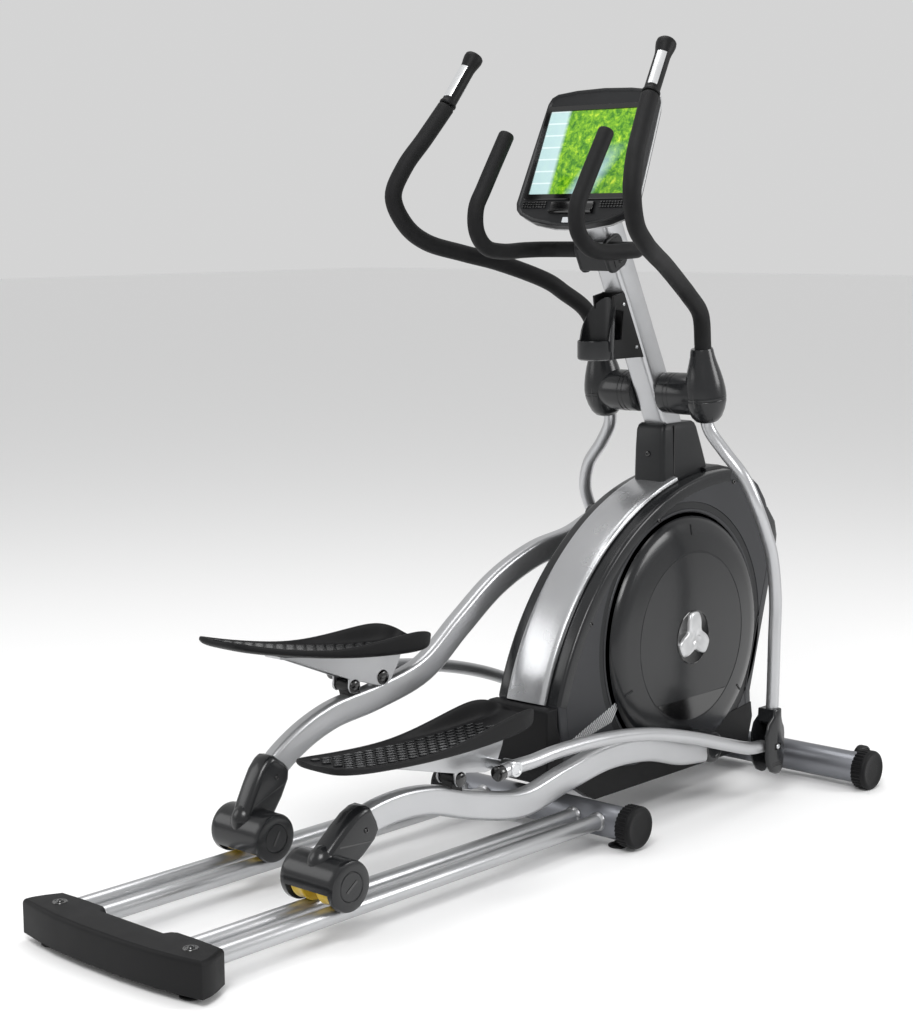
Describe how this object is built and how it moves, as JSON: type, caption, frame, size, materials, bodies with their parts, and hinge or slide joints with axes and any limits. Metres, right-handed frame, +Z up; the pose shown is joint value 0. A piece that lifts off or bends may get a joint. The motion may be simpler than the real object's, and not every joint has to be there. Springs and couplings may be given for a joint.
{
  "type": "elliptical trainer",
  "caption": "Front-drive elliptical trainer with a mast console, moving and fixed handlebars, and pedal arms whose rollers run on twin rails.",
  "frame": {"origin": "centre of the footprint's box at floor level", "axes": "+X towards the front, where the flywheel housing is, +Y to the user's left, +Z up"},
  "size_m": [2.16, 0.858, 1.7876],
  "materials": {
    "silver_paint": "satin silver powder coat on the frame, rails, arms, links and swing tubes",
    "graphite_paint": "dark metallic grey paint on the cross tubes",
    "steel": "turned steel shafts and flywheel",
    "silver_plastic": "silver lacquered plastic band",
    "graphite_plastic": "semi-gloss dark graphite plastic",
    "charcoal_plastic": "fine moulded charcoal plastic",
    "black_plastic": "fine textured black plastic",
    "foam_rubber": "dense black grip foam",
    "belt_rubber": "ribbed drive belt",
    "roller_yellow": "yellow polyurethane wheels",
    "display_glass": "glossy display glass"
  },
  "bodies": {
    "frame": {"base_frame": "silver_paint", "front_stabiliser": "graphite_paint", "mid_crossbar": "graphite_paint", "rail_frame": "silver_paint", "rear_cover": "charcoal_plastic", "mast": "silver_paint", "console_housing": "charcoal_plastic", "console_screen": "display_glass", "handlebar_crossbar": "steel", "handlebar_clamp": "charcoal_plastic", "bottle_holder": "black_plastic", "rear_arc_cover": "silver_plastic", "front_cover": "charcoal_plastic", "base_cover": "black_plastic", "neck_cover": "charcoal_plastic", "drive_belt": "belt_rubber", "front_cap_right": "black_plastic", "front_cap_left": "black_plastic", "mid_cap_right": "black_plastic", "mid_cap_left": "black_plastic", "rear_foot_right": "black_plastic", "rear_foot_left": "black_plastic", "mid_foot_right": "black_plastic", "mid_foot_left": "black_plastic", "fixed_grip_right": "foam_rubber", "fixed_grip_left": "foam_rubber", "side_cover_right": "graphite_plastic", "side_cover_left": "graphite_plastic"},
    "crank": {"crank_axle": "steel", "drive_pulley": "black_plastic", "crank_disc_right": "charcoal_plastic", "crank_disc_left": "charcoal_plastic"},
    "flywheel": {"flywheel": "steel"},
    "right_carriage": {"roller_axle_right": "steel"},
    "right_rollers": {"roller_wheels_right": "roller_yellow"},
    "right_arm": {"roller_cover_right": "charcoal_plastic", "pedal_arm_right": "silver_paint"},
    "right_link": {"pedal_link_right": "silver_paint", "pedal_right": "black_plastic"},
    "right_swing": {"swing_shroud_right": "charcoal_plastic", "swing_grip_right": "foam_rubber", "swing_head_right": "charcoal_plastic", "swing_tube_right": "silver_paint", "swing_joint_cover_right": "charcoal_plastic"},
    "right_button": {"swing_button_right": "graphite_plastic"},
    "right_transport_wheel": {"transport_wheel_right": "black_plastic"},
    "left_carriage": {"roller_axle_left": "steel"},
    "left_rollers": {"roller_wheels_left": "roller_yellow"},
    "left_arm": {"roller_cover_left": "charcoal_plastic", "pedal_arm_left": "silver_paint"},
    "left_link": {"pedal_link_left": "silver_paint", "pedal_left": "black_plastic"},
    "left_swing": {"swing_shroud_left": "charcoal_plastic", "swing_grip_left": "foam_rubber", "swing_head_left": "charcoal_plastic", "swing_tube_left": "silver_paint", "swing_joint_cover_left": "charcoal_plastic"},
    "left_button": {"swing_button_left": "graphite_plastic"},
    "left_transport_wheel": {"transport_wheel_left": "black_plastic"}
  },
  "joints": [
    {"name": "right_stride", "type": "slide", "parent": "frame", "child": "right_carriage", "axis": [1, 0, 0], "range_m": [0, 0.2938]},
    {"name": "right_roller_spin", "type": "hinge", "parent": "right_carriage", "child": "right_rollers", "pos_m": [-0.65594, -0.1713, 0.121], "axis": [0, 1, 0], "continuous": true},
    {"name": "right_arm_lift", "type": "hinge", "parent": "right_carriage", "child": "right_arm", "pos_m": [-0.65594, -0.1713, 0.121], "axis": [0, -1, 0], "range_deg": [0, 11.83]},
    {"name": "right_pedal_pivot", "type": "hinge", "parent": "right_arm", "child": "right_link", "pos_m": [-0.2871, -0.1713, 0.2494], "axis": [0, -1, 0], "range_deg": [-11.35, 0]},
    {"name": "right_swing_pivot", "type": "hinge", "parent": "frame", "child": "right_swing", "pos_m": [0.634, -0.1713, 0.985], "axis": [0, -1, 0], "range_deg": [0, 18.15]},
    {"name": "right_button_press", "type": "slide", "parent": "right_swing", "child": "right_button", "axis": [-0.5636, -0.1167, -0.8178], "range_m": [0, 0.0015], "stiffness_N_per_m": 400},
    {"name": "right_transport_spin", "type": "hinge", "parent": "frame", "child": "right_transport_wheel", "pos_m": [1.042, -0.352, 0.058], "axis": [0, 1, 0], "continuous": true},
    {"name": "left_stride", "type": "slide", "parent": "frame", "child": "left_carriage", "axis": [1, 0, 0], "range_m": [-0.353, 0]},
    {"name": "left_roller_spin", "type": "hinge", "parent": "left_carriage", "child": "left_rollers", "pos_m": [-0.53754, 0.1713, 0.121], "axis": [0, 1, 0], "continuous": true},
    {"name": "left_arm_lift", "type": "hinge", "parent": "left_carriage", "child": "left_arm", "pos_m": [-0.53754, 0.1713, 0.121], "axis": [0, -1, 0], "range_deg": [-12.4, 0]},
    {"name": "left_pedal_pivot", "type": "hinge", "parent": "left_arm", "child": "left_link", "pos_m": [-0.2538, 0.1713, 0.3894], "axis": [0, -1, 0], "range_deg": [0, 16.5]},
    {"name": "left_swing_pivot", "type": "hinge", "parent": "frame", "child": "left_swing", "pos_m": [0.634, 0.1713, 0.985], "axis": [0, -1, 0], "range_deg": [-18.99, 0]},
    {"name": "left_button_press", "type": "slide", "parent": "left_swing", "child": "left_button", "axis": [-0.5636, 0.1167, -0.8178], "range_m": [0, 0.0015], "stiffness_N_per_m": 400},
    {"name": "left_transport_spin", "type": "hinge", "parent": "frame", "child": "left_transport_wheel", "pos_m": [1.042, 0.352, 0.058], "axis": [0, 1, 0], "continuous": true},
    {"name": "crank_spin", "type": "hinge", "parent": "frame", "child": "crank", "pos_m": [0.634, 0, 0.397], "axis": [0, -1, 0], "continuous": true},
    {"name": "flywheel_spin", "type": "hinge", "parent": "frame", "child": "flywheel", "pos_m": [0.374, 0, 0.3], "axis": [0, -1, 0], "continuous": true}
  ],
  "couplings": [
    {"joint": "right_roller_spin", "follows": "right_stride", "rad_per_m": 23.475},
    {"joint": "right_arm_lift", "follows": "right_stride", "rad_per_m": 0.70223},
    {"joint": "right_pedal_pivot", "follows": "right_stride", "rad_per_m": -0.67389},
    {"joint": "right_swing_pivot", "follows": "right_stride", "rad_per_m": 1.0778},
    {"joint": "left_stride", "follows": "right_stride", "ratio": -1.2001},
    {"joint": "left_roller_spin", "follows": "right_stride", "rad_per_m": -28.171},
    {"joint": "left_arm_lift", "follows": "right_stride", "rad_per_m": -0.73621},
    {"joint": "left_pedal_pivot", "follows": "right_stride", "rad_per_m": 0.97971},
    {"joint": "left_swing_pivot", "follows": "right_stride", "rad_per_m": -1.1275},
    {"joint": "crank_spin", "follows": "right_stride", "rad_per_m": 5.3465},
    {"joint": "flywheel_spin", "follows": "right_stride", "rad_per_m": 31.107}
  ]
}
